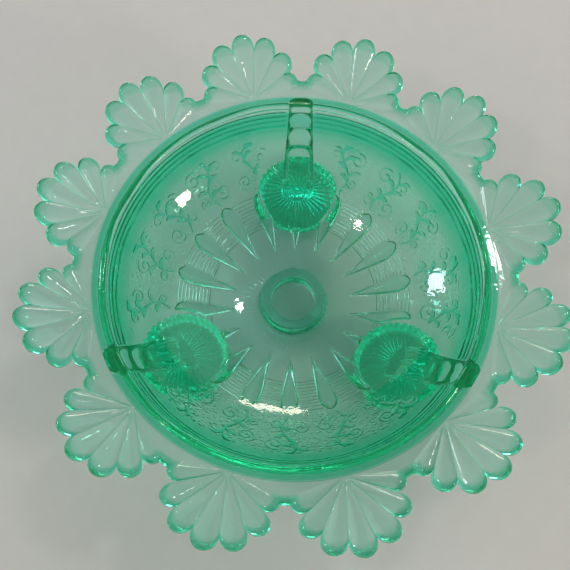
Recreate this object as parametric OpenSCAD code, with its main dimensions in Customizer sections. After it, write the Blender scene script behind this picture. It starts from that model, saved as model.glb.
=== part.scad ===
// Footed pressed-glass bowl: a round bowl on three daisy-shaped feet, with a rim of
// shell fans and a socket standing on the floor. Millimetres, +Z up. The feet stand
// on z = 0, the axis of the bowl is x = y = 0, and the first leg points along +Y.

/* [Rim] */
// Outside radius of the rim band, where the fans spring from
rim_r = 86; // [85:0.5:90]
// Height of the rim's flat top above the surface under the feet
rim_h = 57; // [56:0.5:62]
// Height of the rim band, from its flat top down to its joint with the bowl's wall
rim_t = 5; // [4.5:0.1:6]
// Radial width of the rim's flat top
rim_flat_w = 5.2; // [4.5:0.1:6]
// Radius of the fire-polished edge inside the rim
rim_lip_r = 1.6; // [1:0.1:2]

/* [Bowl] */
// Radius of the inside of the mouth
mouth_r = 80.5; // [78:0.5:81]
// Depth of the inside, from the rim's top to the middle of the floor
bowl_depth = 49.5; // [44:0.5:50]
// Thickness of the wall
wall_t = 3.2; // [3:0.1:4]
// Fullness of the bowl's curve: smaller is squarer
bowl_power = 0.62; // [0.5:0.01:0.75]
// Number of fine steps round the outside, below the rim
step_count = 4; // [2:1:5]
// Height of one step
step_pitch = 2.2; // [1.5:0.1:2.5]
// How far a step stands out from the wall
step_out = 0.5; // [0.2:0.1:0.8]
// Number of petals pressed into the outside of the lower wall
petal_count = 18; // [12:2:24]
// Depth of the groove between two petals
petal_depth = 0.7; // [0.3:0.1:1]
// Radius of that groove's round bottom
petal_groove_r = 2.2; // [1.5:0.1:3]
// Distance from the axis at which the petals begin
petal_in_r = 29; // [24:0.5:34]
// Distance from the axis at which the petals end
petal_out_r = 57; // [50:0.5:60]

/* [Socket] */
// Radius of the socket's bore
socket_bore_r = 10.6; // [8:0.1:12]
// Outside radius of the socket at its top
socket_top_r = 15.5; // [14:0.1:17]
// Outside radius of the socket where it meets the floor
socket_base_r = 17.6; // [16:0.1:19]
// Depth of the socket's mouth below the rim's top
socket_drop = 40; // [36:0.5:42]
// Radius of the socket's rounded lip
socket_lip_r = 2; // [1:0.1:2.2]

/* [Shell fans] */
// Number of fans round the rim
fan_count = 12; // [12:1:12]
// Number of lobes of one fan
lobe_count = 7; // [7:2:7]
// Angle between neighbouring lobes, in the fan's own plane
lobe_step = 23.7; // [22:0.1:24]
// Length of the middle lobe
lobe_len = 30.8; // [28:0.1:32]
// Share by which the outermost lobe is shorter than the middle one
lobe_shortening = 0.235; // [0.2:0.005:0.3]
// Radius of the circle through the tips of the middle lobes
tip_r = 114.2; // [111:0.1:116]
// Rise of those tips above the rim's top
tip_rise = 11.4; // [8:0.1:14]
// Radius of the webs between neighbouring fans
notch_r = 94.4; // [93:0.1:96]
// Thickness of the rim's flange, and of the plate that carries the lobes
plate_t = 3.6; // [3:0.1:4.2]
// Height of a lobe as a share of its half width
lobe_puff = 0.5; // [0.3:0.05:0.7]

/* [Legs and feet] */
// Number of legs
leg_count = 3; // [3:1:3]
// Distance of a foot's middle from the bowl's axis
foot_orbit_r = 60.5; // [59:0.1:62]
// Radius of a foot at its widest
foot_r = 22.3; // [21:0.1:23]
// Radius of the flat face that a foot stands on
foot_base_r = 18.5; // [16:0.1:20]
// Thickness of a foot in its middle
foot_mid_t = 12; // [11:0.1:12.5]
// Height of a foot's widest edge
foot_edge_t = 8; // [7:0.1:8.5]
// Number of ribs round a foot
foot_ribs = 36; // [24:2:40]
// Depth of the scallops in a foot's edge
foot_scallop = 0.6; // [0.3:0.1:1]
// Width of a leg under the rim
leg_top_w = 10.5; // [9:0.1:12]
// Width of a leg at the foot
leg_foot_w = 16; // [14:0.1:17]
// Thickness of a leg, measured across its length
leg_t = 8; // [7:0.1:9]
// Distance from the axis of a leg's outer face, under the webs
leg_top_r = 86.5; // [86:0.1:90]

/* [Hidden] */
$fn = 96;

fan_pitch = 360 / fan_count;
half_pitch = fan_pitch / 2;
leg_pitch = 360 / leg_count;
first_leg_angle = 90;
curve_steps = 24;
arc_steps = 6;
dome_steps = 12;
leg_steps = 8;
leg_sunk = 3;
leg_bow = 1.2;
leg_bevel = 1;
leg_top_sunk_share = 0.62;
step_fullest_share = 0.7;
step_root = 1.5;
lip_flattening = 0.6;
socket_root = 1;
socket_root_step = 1.5;
groove_facets = 24;
tip_rise_power = 1.4;
joint_gap = 0.01;
corner_slack = 0.001;

// ---- The bowl's curve -------------------------------------------------------

// Height on a bowl-shaped curve with the given mouth radius and depth
function curve_z(r, mouth, depth) =
    rim_h - depth * pow(max(0, 1 - pow(r / mouth, 2)), bowl_power);

// Radius on the same curve at a depth below the rim's top
function curve_r(drop, mouth, depth) =
    mouth * sqrt(1 - pow(drop / depth, 1 / bowl_power));

outer_mouth_r = mouth_r + wall_t;
outer_depth = bowl_depth + wall_t;
function inside_z(r) = curve_z(r, mouth_r, bowl_depth);
function inside_r(drop) = curve_r(drop, mouth_r, bowl_depth);
function outside_r(drop) = curve_r(drop, outer_mouth_r, outer_depth);
neck_r = outside_r(rim_t);

// Points of a curve from the axis out to where it reaches a depth below the rim
function bowl_curve(mouth, depth, drop) =
    let (end = curve_r(drop, mouth, depth))
    [for (i = [0:curve_steps])
        let (r = end * sin(90 * i / curve_steps))
        [r, curve_z(r, mouth, depth)]];

function reversed(points) = [for (i = [len(points) - 1:-1:0]) points[i]];

// Everything inside the bowl's outer skin, which the legs are cut back from
module outer_envelope() {
    rotate_extrude()
        polygon(concat(bowl_curve(outer_mouth_r, outer_depth, rim_t),
                       [[0, rim_h - rim_t]]));
}

// Everything below the bowl's inner skin, which the socket is cut back from
module below_floor() {
    rotate_extrude()
        polygon(concat(bowl_curve(mouth_r, bowl_depth, bowl_depth / 2), [
            [inside_r(bowl_depth / 2), 0],
            [0, 0]
        ]));
}

// The fine steps round the outside, as thin rings let into the wall
module outside_steps() {
    for (i = [0:step_count - 1])
        let (
            top = rim_t + i * step_pitch,
            r_top = outside_r(top),
            r_low = outside_r(top + step_pitch)
        )
        rotate_extrude()
            polygon([
                [r_low - step_root, rim_h - top],
                [r_top - joint_gap, rim_h - top],
                [r_low + step_out, rim_h - top - step_pitch * step_fullest_share],
                [r_low - joint_gap, rim_h - top - step_pitch],
                [r_low - step_root, rim_h - top - step_pitch]
            ]);
}

// Middle of the circle through three points
function circle_middle(a, b, c) =
    let (
        d = 2 * (a[0] * (b[1] - c[1]) + b[0] * (c[1] - a[1]) + c[0] * (a[1] - b[1])),
        aa = a * a,
        bb = b * b,
        cc = c * c
    )
    [(aa * (b[1] - c[1]) + bb * (c[1] - a[1]) + cc * (a[1] - b[1])) / d,
     (aa * (c[0] - b[0]) + bb * (a[0] - c[0]) + cc * (b[0] - a[0])) / d];

function outside_point(r) = [r, curve_z(r, outer_mouth_r, outer_depth)];
function direction(from, to) = atan2(to[1] - from[1], to[0] - from[0]);

// One groove between two petals, along an arc that follows the outside
module petal_groove(angle) {
    inner = outside_point(petal_in_r);
    outer = outside_point(petal_out_r);
    middle = circle_middle(inner, outside_point((petal_in_r + petal_out_r) / 2), outer);
    first = direction(middle, inner);
    span = direction(middle, outer) - first;
    sweep_r = norm(inner - middle) + petal_groove_r - petal_depth;
    rotate([0, 0, angle])
        translate([middle[0], 0, middle[1]])
            rotate([90, -first, 0])
                rotate_extrude(angle = span)
                    translate([sweep_r, 0])
                        circle(r = petal_groove_r, $fn = groove_facets);
}

module bowl() {
    color("mediumaquamarine")
        difference() {
            union() {
                rotate_extrude()
                    polygon(concat(
                        bowl_curve(outer_mouth_r, outer_depth, rim_t),
                        reversed(bowl_curve(mouth_r, bowl_depth, rim_t))
                    ));
                outside_steps();
            }
            for (i = [0:petal_count - 1])
                petal_groove(first_leg_angle + (i + 0.5) * 360 / petal_count);
        }
}

// ---- Rim --------------------------------------------------------------------

// A flange round the mouth, on a short neck that continues the bowl's wall
module rim_band() {
    flat_in_r = rim_r - rim_flat_w;
    lip = [for (i = [0:arc_steps])
        let (a = 180 - 90 * (1 - i / arc_steps))
        [flat_in_r + rim_lip_r * cos(a) * lip_flattening, rim_h - rim_lip_r + rim_lip_r * sin(a)]];
    color("mediumseagreen")
        rotate_extrude()
            polygon(concat(
                lip,
                [
                    [inside_r(rim_t), rim_h - rim_t],
                    [neck_r, rim_h - rim_t],
                    [neck_r, rim_h - plate_t],
                    [rim_r, rim_h - plate_t],
                    [rim_r, rim_h]
                ]
            ));
}

// ---- Socket on the floor ----------------------------------------------------

module center_socket() {
    top = rim_h - socket_drop;
    root_z = inside_z(socket_base_r) - socket_root;
    lip = [for (i = [0:arc_steps])
        let (a = 90 * i / arc_steps)
        [socket_top_r - socket_lip_r + socket_lip_r * cos(a),
         top - socket_lip_r + socket_lip_r * sin(a)]];
    color("mediumseagreen")
        difference() {
            rotate_extrude()
                polygon(concat(
                    [[0, 0], [socket_base_r, 0], [socket_base_r, root_z + socket_root_step]],
                    lip,
                    [[0, top]]
                ));
            translate([0, 0, -1])
                cylinder(r = socket_bore_r, h = rim_h);
            below_floor();
        }
}

// ---- Shell fans -------------------------------------------------------------
// A fan is worked out in its own polar grid: angle from the middle lobe, and
// distance from the hub, which stands on the rim's outer edge.

lobe_side = (lobe_count - 1) / 2;
lobe_half = lobe_step / 2;
plan_scale = (tip_r - rim_r) / lobe_len;
lobe_end_share = sin(lobe_half) / (1 + sin(lobe_half));

function lobe_of(a) = max(-lobe_side, min(lobe_side, round(a / lobe_step)));
function length_of(k) = lobe_len * (1 - lobe_shortening * pow(k / lobe_side, 2));
function end_r_of(k) = length_of(k) * lobe_end_share;

// Distance from the hub to a lobe's outline, at an angle from its middle line
function lobe_reach(k, off) =
    let (
        mid = length_of(k) - end_r_of(k),
        inside = pow(end_r_of(k), 2) - pow(mid * sin(off), 2)
    )
    mid * cos(off) + sqrt(max(0, inside));

// Distance from the hub to a circle round the bowl's axis
function circle_reach(a, radius) =
    let (
        across = pow(plan_scale * cos(a), 2) + pow(sin(a), 2),
        along = rim_r * plan_scale * cos(a),
        rest = rim_r * rim_r - radius * radius
    )
    (-along + sqrt(max(0, along * along - across * rest))) / across;

// Distance from the hub to the plane half way to the next fan
function plane_reach(a) =
    rim_r * tan(half_pitch) / (sin(abs(a)) - tan(half_pitch) * plan_scale * cos(a));

corner_angle = atan2(sin(half_pitch), (cos(half_pitch) - 1) / plan_scale);
notch_angle = atan2(
    notch_r * sin(half_pitch),
    (notch_r * cos(half_pitch) - rim_r) / plan_scale
);

function inner_reach(a) = abs(a) <= 90 ? 0 : circle_reach(a, rim_r + joint_gap);
function outer_reach(a) =
    abs(a) >= notch_angle
        ? plane_reach(a)
        : max(lobe_reach(lobe_of(a), a - lobe_of(a) * lobe_step), circle_reach(a, notch_r));

// Height of a lobe above its plate: a cone from the hub with a ball at its end
function lobe_height(a, reach) =
    let (
        k = lobe_of(a),
        off = a - k * lobe_step,
        along = reach * cos(off),
        across = reach * sin(off),
        mid = length_of(k) - end_r_of(k),
        past = along - mid * pow(cos(lobe_half), 2),
        cone = pow(along * tan(lobe_half), 2) - pow(across, 2),
        ball = pow(end_r_of(k), 2) - pow(along - mid, 2) - pow(across, 2)
    )
    lobe_puff * sqrt(max(0, past < 0 ? cone : ball));

// Height of the plate's top, which rises outwards from the rim
function plate_z(x) = rim_h + tip_rise * pow(max(0, x) / (tip_r - rim_r), tip_rise_power);

// Directions of the grid's columns, and places of its rows from hub to edge
lobe_cols = 6;
web_cols = 4;
half_columns = concat(
    [for (i = [0:lobe_side * lobe_cols + lobe_cols / 2 - 2]) i * lobe_step / lobe_cols],
    [notch_angle],
    [for (i = [1:web_cols]) notch_angle + (corner_angle - notch_angle) * i / web_cols]
);
columns = concat([for (a = reversed(half_columns)) -a],
                 [for (i = [1:len(half_columns) - 1]) half_columns[i]]);
rows = [0, 0.3, 0.55, 0.74, 0.87, 0.96, 1];

// A point of the grid, on the top or on the underside
function fan_point(a, share, on_top) =
    let (
        corner = abs(a) > corner_angle - corner_slack,
        near = corner ? outer_reach(a) : inner_reach(a),
        reach = near + share * (outer_reach(a) - near),
        x = reach * cos(a) * plan_scale,
        z = plate_z(x)
    )
    [rim_r + x, reach * sin(a), on_top ? z + lobe_height(a, reach) : z - plate_t];

// The triangle a, b, c, or none where two of its corners are one point
function triangle(a, b, c) = a != b && b != c && a != c ? [[a, b, c]] : [];

// A four-sided face as two triangles, split from b to d or from a to c
function split_face(a, b, c, d, from_b) =
    from_b
        ? concat(triangle(a, b, d), triangle(b, c, d))
        : concat(triangle(a, b, c), triangle(a, c, d));

module fan_solid() {
    cols = len(columns);
    side = len(rows);
    hub_col = floor(cols / 2);
    points = [for (on_top = [true, false], a = columns, share = rows)
        fan_point(a, share, on_top)];

    // The rows of a corner column meet in one point, as do all columns at the hub
    function at(i, j, on_top) =
        let (
            col = j == 0 && abs(columns[i]) <= 90 ? hub_col : i,
            row = i == 0 || i == cols - 1 ? 0 : j
        )
        (on_top ? 0 : cols * side) + col * side + row;

    // The split is mirrored about the middle lobe, away from the rays from the hub
    faces = [for (i = [0:cols - 2])
        let (right = i >= hub_col)
        each concat(
            [for (j = [0:side - 2]) each concat(
                split_face(at(i, j, true), at(i + 1, j, true),
                           at(i + 1, j + 1, true), at(i, j + 1, true), right),
                split_face(at(i, j, false), at(i, j + 1, false),
                           at(i + 1, j + 1, false), at(i + 1, j, false), right)
            )],
            split_face(at(i, 0, true), at(i, 0, false),
                       at(i + 1, 0, false), at(i + 1, 0, true), right),
            split_face(at(i, side - 1, true), at(i + 1, side - 1, true),
                       at(i + 1, side - 1, false), at(i, side - 1, false), right)
        )];
    polyhedron(points = points, faces = faces, convexity = 6);
}

module shell_fan(number) {
    color("aquamarine")
        rotate([0, 0, half_pitch + (number - 1) * fan_pitch])
            fan_solid();
}

// ---- Legs and feet ----------------------------------------------------------

// Outline of a leg in its own upright plane, as distance from the axis and height:
// a band along a gently bowed middle line, from under the webs into the foot
function leg_outline() =
    let (
        top = [rim_r - leg_t * leg_top_sunk_share, rim_h - rim_t],
        low = [foot_orbit_r, foot_mid_t - leg_sunk],
        run = low - top,
        across = [-run[1], run[0]] / norm(run) * leg_t / 2,
        bend = (top + low) / 2 + across * leg_bow,
        middle = [for (i = [0:leg_steps])
            let (t = i / leg_steps)
            (1 - t) * (1 - t) * top + 2 * t * (1 - t) * bend + t * t * low]
    )
    concat(
        [[rim_r - leg_t, rim_h - plate_t], [leg_top_r, rim_h - plate_t]],
        [[leg_top_r - leg_bevel, rim_h - rim_t - leg_bevel]],
        [for (i = [1:leg_steps]) middle[i] + across],
        [for (i = [leg_steps:-1:1]) middle[i] - across]
    );

module leg(number) {
    plan = [
        [0, leg_foot_w / 2],
        [foot_orbit_r, leg_foot_w / 2],
        [leg_top_r, leg_top_w / 2],
        [leg_top_r, -leg_top_w / 2],
        [foot_orbit_r, -leg_foot_w / 2],
        [0, -leg_foot_w / 2]
    ];
    color("mediumseagreen")
        rotate([0, 0, first_leg_angle + (number - 1) * leg_pitch])
            difference() {
                intersection() {
                    translate([0, leg_foot_w, 0])
                        rotate([90, 0, 0])
                            linear_extrude(height = 2 * leg_foot_w)
                                polygon(leg_outline());
                    linear_extrude(height = rim_h)
                        polygon(plan);
                }
                outer_envelope();
                translate([0, 0, rim_h - rim_t])
                    cylinder(r = neck_r, h = rim_t);
                foot_blank();
            }
}

// A foot before its edge is scalloped: a low dome on sides that draw in to a flat base
module foot_blank() {
    dome = [for (i = [0:dome_steps])
        let (s = i / dome_steps)
        [foot_r * s, foot_edge_t + (foot_mid_t - foot_edge_t) * (1 - s * s)]];
    translate([foot_orbit_r, 0, 0])
        rotate_extrude()
            polygon(concat([[0, 0]], dome, [[foot_base_r, 0]]));
}

module foot(number) {
    color("seagreen")
        rotate([0, 0, first_leg_angle + (number - 1) * leg_pitch])
            intersection() {
                foot_blank();
                translate([foot_orbit_r, 0, 0])
                    linear_extrude(height = foot_mid_t)
                        polygon([for (i = [0:4 * foot_ribs - 1])
                            let (
                                a = 90 * i / foot_ribs,
                                r = foot_r - foot_scallop * (1 - abs(cos(foot_ribs * a / 2)))
                            )
                            [r * cos(a), r * sin(a)]]);
            }
}

// ---- Nodes ------------------------------------------------------------------

bowl();
rim_band();
center_socket();
for (i = [1:fan_count])
    shell_fan(i);
for (i = [1:leg_count])
    leg(i);
for (i = [1:leg_count])
    foot(i);
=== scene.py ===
"""The looks of a footed pressed-glass bowl with a rim of shell fans.

Each CAD node is replaced by a finely modelled piece of glass of the same size in the
same place. Shapes are worked out in millimetres round the bowl's axis and become
metres when their mesh is made. Where two pieces are one pour of glass, the faces in
which they touch let light straight through, so that no seam shows.
"""
import math

import bpy
import numpy as np
from mathutils import Matrix, Vector


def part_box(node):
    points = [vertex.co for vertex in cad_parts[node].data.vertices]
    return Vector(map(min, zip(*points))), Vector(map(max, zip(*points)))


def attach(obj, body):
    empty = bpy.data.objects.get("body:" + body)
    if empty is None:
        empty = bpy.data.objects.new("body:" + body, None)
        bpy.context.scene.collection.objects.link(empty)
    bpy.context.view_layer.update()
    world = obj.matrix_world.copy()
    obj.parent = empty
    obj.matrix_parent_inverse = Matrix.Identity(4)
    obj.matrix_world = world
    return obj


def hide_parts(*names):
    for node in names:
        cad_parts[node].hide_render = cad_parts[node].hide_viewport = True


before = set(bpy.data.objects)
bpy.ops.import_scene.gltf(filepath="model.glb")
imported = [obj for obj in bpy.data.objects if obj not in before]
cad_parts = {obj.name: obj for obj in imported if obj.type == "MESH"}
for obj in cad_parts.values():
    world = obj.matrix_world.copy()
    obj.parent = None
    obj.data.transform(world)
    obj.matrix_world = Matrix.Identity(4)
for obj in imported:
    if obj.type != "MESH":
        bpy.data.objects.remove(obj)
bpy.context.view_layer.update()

MM = 0.001
BODY = "root"
DETAIL = 1.0  # share of the full mesh density
GAP = 0.02  # half the slit between two touching faces


def top_of(node):
    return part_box(node)[1].z / MM


# ---- Sizes, from the frame where it holds them ---------------------------------

RIM_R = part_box("rim_band")[1].x / MM
RIM_H = top_of("rim_band")
RIM_T = RIM_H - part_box("rim_band")[0].z / MM
RIM_FLAT_W = 5.2
WALL = 3.2
JOINT_Z = RIM_H - RIM_T  # height of the joint between bowl and rim band
OUTER_DEPTH = RIM_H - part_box("bowl")[0].z / MM
OUTER_MOUTH_R = 83.7
INNER_DEPTH = OUTER_DEPTH - WALL
INNER_MOUTH_R = OUTER_MOUTH_R - WALL
BOWL_POWER = 0.62

SOCKET_TOP = top_of("center_socket")
SOCKET_BASE_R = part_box("center_socket")[1].x / MM
SOCKET_TOP_R = 15.5
SOCKET_BORE_R = 10.6

FANS = [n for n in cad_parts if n.startswith("shell_fan_")]
LEGS = [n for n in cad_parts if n.startswith("leg_")]
FEET = [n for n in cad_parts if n.startswith("foot_")]
FAN_PITCH = math.radians(360 / len(FANS))
LEG_PITCH = math.radians(360 / len(LEGS))
FIRST_LEG = math.radians(90)

LOBES_ASIDE = 3
LOBE_STEP = math.radians(23.7)
LOBE_HALF = LOBE_STEP / 2
LOBE_LEN = 30.75
LOBE_SHORTENING = 0.235
LOBE_PUFF = 0.55
LOBE_POWER = 0.66
TIP_R = 114.2
TIP_RISE = 11.4
NOTCH_R = 94.4
PLATE_T = 3.6
EDGE_R = 2.4
PAINTED_OUTLINE_W = 3.8  # width of the painted shade, a deep green line, along the lobes' ends
HUB_R = 0.25
PLAN_SCALE = (TIP_R - RIM_R) / LOBE_LEN

FOOT_LOW, FOOT_HIGH = (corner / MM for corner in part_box("foot_01"))
FOOT_ORBIT_R = (FOOT_LOW.y + FOOT_HIGH.y) / 2
FOOT_R = (FOOT_HIGH.x - FOOT_LOW.x) / 2
FOOT_MID_T = FOOT_HIGH.z
FOOT_EDGE_T = 8.0
FOOT_BASE_R = 18.5
FOOT_RIBS = 36
FOOT_HOLLOW = 1.8
FOOT_SCALLOP = 1.5
FOOT_RIB_DEPTH = 1.5
FOOT_RIBS_FROM = 0.3  # share of the foot's radius at which its ribs begin
FOOT_ROUND_R = 1.2
FOOT_HEEL_R = 0.8
LEG_SOLE_HALF = 4.8
LEG_TOP_W = 10.5
LEG_FOOT_W = 16.0
LEG_TOP_R = 86.5
LEG_LEAVES_R = 64.0  # where a leg leaves the wall and runs free

PETALS = 18
PETAL_PITCH = 2 * math.pi / PETALS


# ---- Meshes --------------------------------------------------------------------


def circle(cols):
    """Even angles round the axis."""
    return np.arange(cols) / cols * 2 * math.pi


def ring(r, z, theta):
    """Points at a distance from the axis and a height, either of which may vary with the angle."""
    return np.stack([r * np.cos(theta), r * np.sin(theta), np.broadcast_to(z, theta.shape)], -1)


def ring_quads(rows, cols):
    """Quads that join rows of points to the next row, closed round the columns."""
    row = np.arange(rows - 1)[:, None]
    col = np.arange(cols)[None, :]
    after = (col + 1) % cols
    corners = [row * cols + col, row * cols + after, (row + 1) * cols + after]
    corners.append((row + 1) * cols + col)
    return np.stack(corners, -1).reshape(-1, 4)


def join_rows(last, first, cols):
    """Quads that close a grid from its last row to its first."""
    col = np.arange(cols)
    after = (col + 1) % cols
    corners = [last * cols + col, last * cols + after, first * cols + after, first * cols + col]
    return np.stack(corners, -1)


def pole_triangles(pole, row_start, cols):
    """Triangles from one point to a closed row of points."""
    col = np.arange(cols)
    return np.stack([np.full(cols, pole), row_start + col, row_start + (col + 1) % cols], -1)


def closed_loop(rows):
    """A mesh from rows of points round the axis, of which the last joins the first."""
    count, cols = len(rows), len(rows[0])
    return np.concatenate(rows), [ring_quads(count, cols), join_rows(count - 1, 0, cols)]


def capped_grid(rows, first_pole, last_pole):
    """A mesh from rows of points round the axis, closed by a point on it at both ends."""
    count, cols = len(rows), len(rows[0])
    faces = [
        ring_quads(count, cols),
        pole_triangles(count * cols, 0, cols)[:, ::-1],
        pole_triangles(count * cols + 1, (count - 1) * cols, cols),
    ]
    return np.concatenate(rows + [[first_pole], [last_pole]]), faces


def signed_volume(points, faces):
    """Volume inside a closed mesh: negative if its faces look inwards."""
    total = 0.0
    for block in faces:
        for k in range(1, block.shape[1] - 1):
            a, b, c = (points[block[:, i]] for i in (0, k, k + 1))
            total += np.einsum("ij,ij->i", a, np.cross(b, c)).sum()
    return total / 6


def build_mesh(name, shape, turn=0.0):
    """A smooth mesh from a shape: points in mm, blocks of faces, skin and painted shade.

    skin holds one number for each face: 1 where glass meets air, 0 where it touches
    the next piece of the same pour. Edges between the two kinds are kept sharp, so
    that the smooth shading ends there. The painted shade holds one number for each point: how much
    of the colour of deep glass is painted on its skin, standing in for light lost on long paths
    through thick glass and for shade in creases and at edges.
    """
    points, faces, skin, painted_shade = shape
    flipped = signed_volume(points, faces) < 0
    polygons = [f[::-1] if flipped else f for block in faces for f in block.tolist()]
    spin = np.array(Matrix.Rotation(turn, 3, "Z"))
    mesh = bpy.data.meshes.new(name)
    mesh.from_pydata((points @ spin.T * MM).tolist(), [], polygons)
    mesh.polygons.foreach_set("use_smooth", np.ones(len(polygons), bool))
    skin = np.asarray(skin, np.float32)
    mesh.attributes.new("skin", "FLOAT", "FACE").data.foreach_set("value", skin)
    # Painted shade: how deep a green is painted on the skin at each point
    painted_shade = np.clip(painted_shade, 0, 1).astype(np.float32)
    mesh.attributes.new("painted_shade", "FLOAT", "POINT").data.foreach_set("value", painted_shade)

    edge_of = np.empty(len(mesh.loops), np.int32)
    mesh.loops.foreach_get("edge_index", edge_of)
    sides = np.empty(len(polygons), np.int32)
    mesh.polygons.foreach_get("loop_total", sides)
    of_loop = np.repeat(skin, sides)
    low = np.ones(len(mesh.edges), np.float32)
    high = np.zeros(len(mesh.edges), np.float32)
    np.minimum.at(low, edge_of, of_loop)
    np.maximum.at(high, edge_of, of_loop)
    mesh.attributes.new("sharp_edge", "BOOLEAN", "EDGE").data.foreach_set("value", low != high)
    mesh.update()
    return mesh


def add_piece(shape, node, material, turn=0.0):
    """Puts a shape in the scene as the piece that stands for a CAD node."""
    mesh = build_mesh("glass_" + node, shape, turn)
    mesh.materials.append(material)
    piece = bpy.data.objects.new("glass_" + node, mesh)
    bpy.context.scene.collection.objects.link(piece)
    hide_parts(node)
    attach(piece, BODY)


def face_middles(points, faces):
    return np.concatenate([points[block].mean(axis=1) for block in faces])


def steps(count):
    return max(3, round(count * DETAIL))


# ---- The bowl's curve ----------------------------------------------------------


def curve_z(r, mouth, depth):
    return RIM_H - depth * np.maximum(0, 1 - (r / mouth) ** 2) ** BOWL_POWER


def curve_r(drop, mouth, depth):
    return mouth * np.sqrt(1 - (drop / depth) ** (1 / BOWL_POWER))


def inside_z(r):
    return curve_z(r, INNER_MOUTH_R, INNER_DEPTH)


def outside_z(r):
    return curve_z(r, OUTER_MOUTH_R, OUTER_DEPTH)


def even_radii(z_of, low, high, count):
    """Radii between low and high at even steps along a curve."""
    r = np.linspace(low, high, 4000)
    run = np.concatenate([[0], np.cumsum(np.hypot(np.diff(r), np.diff(z_of(r))))])
    return np.interp(np.linspace(0, run[-1], count), run, r)


def ease(t):
    """A smooth rise from 0 at t = 0 to 1 at t = 1, level outside them."""
    t = np.clip(t, 0, 1)
    return t * t * (3 - 2 * t)


def past(x, low, soft):
    """1 above low, easing to 0 over a distance soft below it."""
    return ease((x - low) / soft + 1)


def short_of(x, high, soft):
    """1 below high, easing to 0 over a distance soft above it."""
    return ease((high - x) / soft + 1)


def window(x, low, high, soft):
    """1 between low and high, easing to 0 over a distance soft outside them."""
    return ease(np.minimum(x - low, high - x) / soft + 1)


def leg_angle_off(theta):
    """Angle from the nearest leg."""
    return (theta - FIRST_LEG + LEG_PITCH / 2) % LEG_PITCH - LEG_PITCH / 2


def leg_width(r):
    share = (LEG_TOP_R - r) / (LEG_TOP_R - FOOT_ORBIT_R)
    return LEG_TOP_W + (LEG_FOOT_W - LEG_TOP_W) * share


# ---- Relief pressed into the outside of the bowl --------------------------------

SCROLL_LOW_R = 0.675 * RIM_R
SCROLL_HIGH_R = 0.875 * RIM_R
PETAL_LOW_R = 0.33 * RIM_R
PETAL_HIGH_R = 0.66 * RIM_R
LADDER_LOW_R = 0.475 * RIM_R
LADDER_HIGH_R = 0.645 * RIM_R
LADDER_PITCH = 1.6
STEP_PITCH = 2.2
STEP_RISE = 0.75
STEPS_LOW = RIM_T + 4 * STEP_PITCH
PETAL_RISE = 1.5
PETAL_GROOVE = 0.15
RUNG_RISE = 0.55
RAY_RISE = 0.1
SCROLL_RISE = 0.5
SCROLL_HALF_W = 0.62
GRAIN_RISE = 0.3
GRAIN_R = 0.5
PANEL_RISE = 0.2
BORDER_GROOVE = 0.18
GROOVE_W = 0.6


def scroll_lines(rng):
    """Curves of one panel's scrollwork, across and up in mm from its lower middle."""
    lines = []

    def spiral(x, y, start, turns, r_out, r_in, count=70):
        a = np.linspace(0, turns * 2 * math.pi, count)
        r = np.linspace(r_out, r_in, count)
        lines.append(np.stack([x + r * np.cos(start + a), y + r * np.sin(start + a)], -1))

    def near(value, spread):
        return value + rng.uniform(-spread, spread)

    spiral(near(-5.2, 1), near(6.5, 1), near(-1.2, 0.5), near(-1.2, 0.2), near(4.2, 0.6), 0.8)
    spiral(near(5.0, 1), near(17.5, 1.5), near(1.9, 0.6), near(-1.2, 0.2), near(3.8, 0.6), 0.8)
    spiral(near(6.6, 1), near(6.4, 2), near(2.6, 0.6), near(1.0, 0.2), near(2.8, 0.5), 0.7)
    spiral(near(-6.2, 1), near(19.2, 1), near(-0.4, 0.6), near(1.0, 0.2), near(3.0, 0.5), 0.7)
    phase = near(0.5, 0.4)
    bend = near(3.2, 0.6)

    def stem(t):
        return bend * np.sin(5.6 * t + phase), 1 + 24 * t

    lines.append(np.stack(stem(np.linspace(0, 1, 90)), -1))
    t = np.linspace(0, 1, 22)
    for number in range(7):
        x, y = stem(near(0.1 + 0.13 * number, 0.03))
        reach = near(4.5, 1.5) * (-1) ** number
        rise = near(2.6, 1.2)
        for fullness in (1.5, 0.3):
            bow = fullness * np.sin(math.pi * t)
            lines.append(np.stack([x + reach * t, y + rise * t + bow], -1))
    return np.concatenate(lines)


def scroll_relief(across, up, panel, in_band):
    """Height of the thin scrolls and of the stippled ground between them."""
    height = np.zeros(across.shape)
    rng = np.random.default_rng(7)
    for number in range(PETALS):
        here = in_band & (panel % PETALS == number)
        dots = scroll_lines(rng)
        grains = rng.uniform((-13, -1), (13, 29), (420, 2))
        if not here.any():
            continue
        x, y = across[here][:, None], up[here][:, None]
        bead = ((x - dots[:, 0]) ** 2 + (y - dots[:, 1]) ** 2).min(axis=1)
        grain = ((x - grains[:, 0]) ** 2 + (y - grains[:, 1]) ** 2).min(axis=1)
        bead = np.maximum(0, 1 - bead / SCROLL_HALF_W**2)
        grain = np.maximum(0, 1 - grain / GRAIN_R**2)
        height[here] = np.where(bead > 0.02, SCROLL_RISE * bead, GRAIN_RISE * grain)
    return height


def petal_half_angle(r):
    """Half the angle a petal spans at a distance from the axis: pointed inwards."""
    t = np.clip((r - PETAL_LOW_R) / (PETAL_HIGH_R - PETAL_LOW_R), 0, 1)
    return math.radians(5.4) * (1 - (1 - t) ** 1.7) ** 0.8 * np.sqrt(np.maximum(0, 1 - t**9))


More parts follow.
